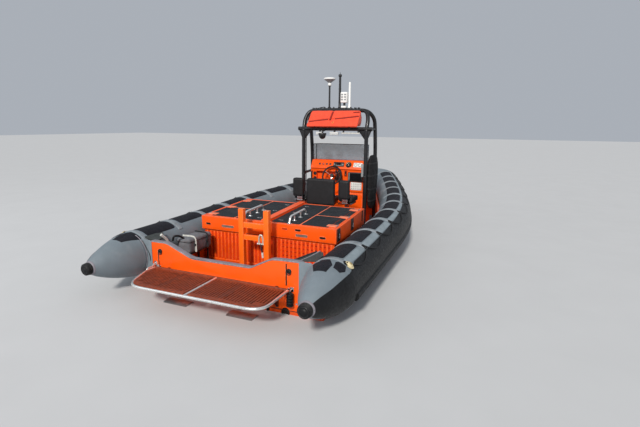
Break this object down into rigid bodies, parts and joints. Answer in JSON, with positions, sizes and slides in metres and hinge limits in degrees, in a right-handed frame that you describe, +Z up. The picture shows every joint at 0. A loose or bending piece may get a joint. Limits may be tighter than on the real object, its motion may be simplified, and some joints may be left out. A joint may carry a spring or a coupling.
{
  "type": "inshore rescue boat",
  "caption": "Rigid inflatable rescue boat with a grey collar, orange engine box and console, tubular gantry, water jets and a folding stern platform.",
  "frame": {"origin": "on the centreline, in the plane of the transom's after face, at the waterline of the boat afloat", "axes": "+X forward, +Y to port, +Z up"},
  "size_m": [6.8464, 2.935, 3.0934],
  "materials": {
    "orange_gelcoat": "orange moulded and painted composite, satin to gloss, scuffed at the edges",
    "orange_coated_steel": "light orange paint on square steel section, worn at the corners",
    "deck_nonslip": "grey moulded deck with a coarse non-slip surface",
    "grey_capping": "grey moulded strip, dull",
    "tube_fabric": "grey coated fabric with glued black anti-slip pads and pale bands",
    "black_rubber": "black moulded rubber, matt, grey with wear",
    "stainless": "bright polished stainless tube",
    "grating_plastic": "red-brown slatted grating, dull and wet",
    "engine_paint": "grey painted engine block",
    "jet_alloy": "cast and machined aluminium, dull",
    "black_coated_tube": "black powder-coated tube, satin",
    "instrument_black": "black moulded instrument case",
    "white_plastic": "white moulded plastic",
    "tinted_screen": "lightly tinted acrylic sheet",
    "bag_fabric": "orange-red coated nylon cover, creased",
    "seat_vinyl": "black marine vinyl over foam",
    "pannier_fabric": "grey coated fabric pannier with webbing"
  },
  "bodies": {
    "boat": {"hull": "orange_gelcoat", "deck": "deck_nonslip", "transom": "orange_gelcoat", "transom_capping": "grey_capping", "tube_port": "tube_fabric", "tube_starboard": "tube_fabric", "tube_end_cap_port": "black_rubber", "tube_end_cap_starboard": "black_rubber", "rubbing_strake_port": "black_rubber", "rubbing_strake_starboard": "black_rubber", "engine_box": "orange_gelcoat", "engine_port": "engine_paint", "engine_starboard": "engine_paint", "tow_post": "orange_coated_steel", "platform_stay_port": "black_coated_tube", "platform_stay_starboard": "black_coated_tube", "jet_unit_port": "jet_alloy", "jet_unit_starboard": "jet_alloy", "console": "orange_gelcoat", "windscreen": "tinted_screen", "chart_plotter": "instrument_black", "helm_seat_base": "black_coated_tube", "port_seat_base": "stainless", "starboard_seat_base": "stainless", "helm_seat_cushion": "seat_vinyl", "port_seat_cushion": "seat_vinyl", "starboard_seat_cushion": "seat_vinyl", "helm_seat_back": "seat_vinyl", "port_seat_back": "seat_vinyl", "starboard_seat_back": "seat_vinyl", "gantry": "black_coated_tube", "righting_bag": "bag_fabric", "light_mast": "white_plastic", "aerial_pole": "instrument_black", "radar_reflector": "white_plastic", "whip_aerial": "white_plastic", "stern_pannier": "pannier_fabric", "bow_bollard": "stainless"},
    "platform": {"platform_frame": "stainless", "platform_grating_port": "grating_plastic", "platform_grating_starboard": "grating_plastic"},
    "lid_port": {"engine_lid_port": "orange_gelcoat", "lid_handrail_port": "stainless"},
    "lid_starboard": {"engine_lid_starboard": "orange_gelcoat", "lid_handrail_starboard": "stainless"},
    "nozzle_port": {"jet_nozzle_port": "jet_alloy"},
    "nozzle_starboard": {"jet_nozzle_starboard": "jet_alloy"},
    "bucket_port": {"jet_bucket_port": "jet_alloy"},
    "bucket_starboard": {"jet_bucket_starboard": "jet_alloy"},
    "wheel": {"steering_wheel": "black_rubber"}
  },
  "joints": [
    {"name": "platform_fold", "type": "hinge", "parent": "boat", "child": "platform", "pos_m": [-0.062, 0, 0.272], "axis": [0, 1, 0], "range_deg": [0, 85]},
    {"name": "engine_lid_port_hinge", "type": "hinge", "parent": "boat", "child": "lid_port", "pos_m": [1.475, 0.882, 0.6742], "axis": [-0.9992, 0, -0.04], "range_deg": [0, 80]},
    {"name": "engine_lid_starboard_hinge", "type": "hinge", "parent": "boat", "child": "lid_starboard", "pos_m": [1.475, -0.882, 0.6742], "axis": [0.9992, 0, 0.04], "range_deg": [0, 80]},
    {"name": "jet_steer_port", "type": "hinge", "parent": "boat", "child": "nozzle_port", "pos_m": [-0.208, 0.38, -0.165], "axis": [0, 0, 1], "range_deg": [-27, 27]},
    {"name": "jet_steer_starboard", "type": "hinge", "parent": "boat", "child": "nozzle_starboard", "pos_m": [-0.208, -0.38, -0.165], "axis": [0, 0, 1], "range_deg": [-27, 27]},
    {"name": "bucket_port_tilt", "type": "hinge", "parent": "boat", "child": "bucket_port", "pos_m": [-0.2, 0.38, -0.137], "axis": [0, -1, 0], "range_deg": [0, 75]},
    {"name": "bucket_starboard_tilt", "type": "hinge", "parent": "boat", "child": "bucket_starboard", "pos_m": [-0.2, -0.38, -0.137], "axis": [0, -1, 0], "range_deg": [0, 75]},
    {"name": "steering_wheel_turn", "type": "hinge", "parent": "boat", "child": "wheel", "pos_m": [3.368, 0.06, 0.945], "axis": [-0.8829, 0, 0.4695], "range_deg": [-360, 360]}
  ],
  "couplings": [
    {"joint": "jet_steer_starboard", "follows": "jet_steer_port", "ratio": 1},
    {"joint": "steering_wheel_turn", "follows": "jet_steer_port", "ratio": 13.333}
  ]
}
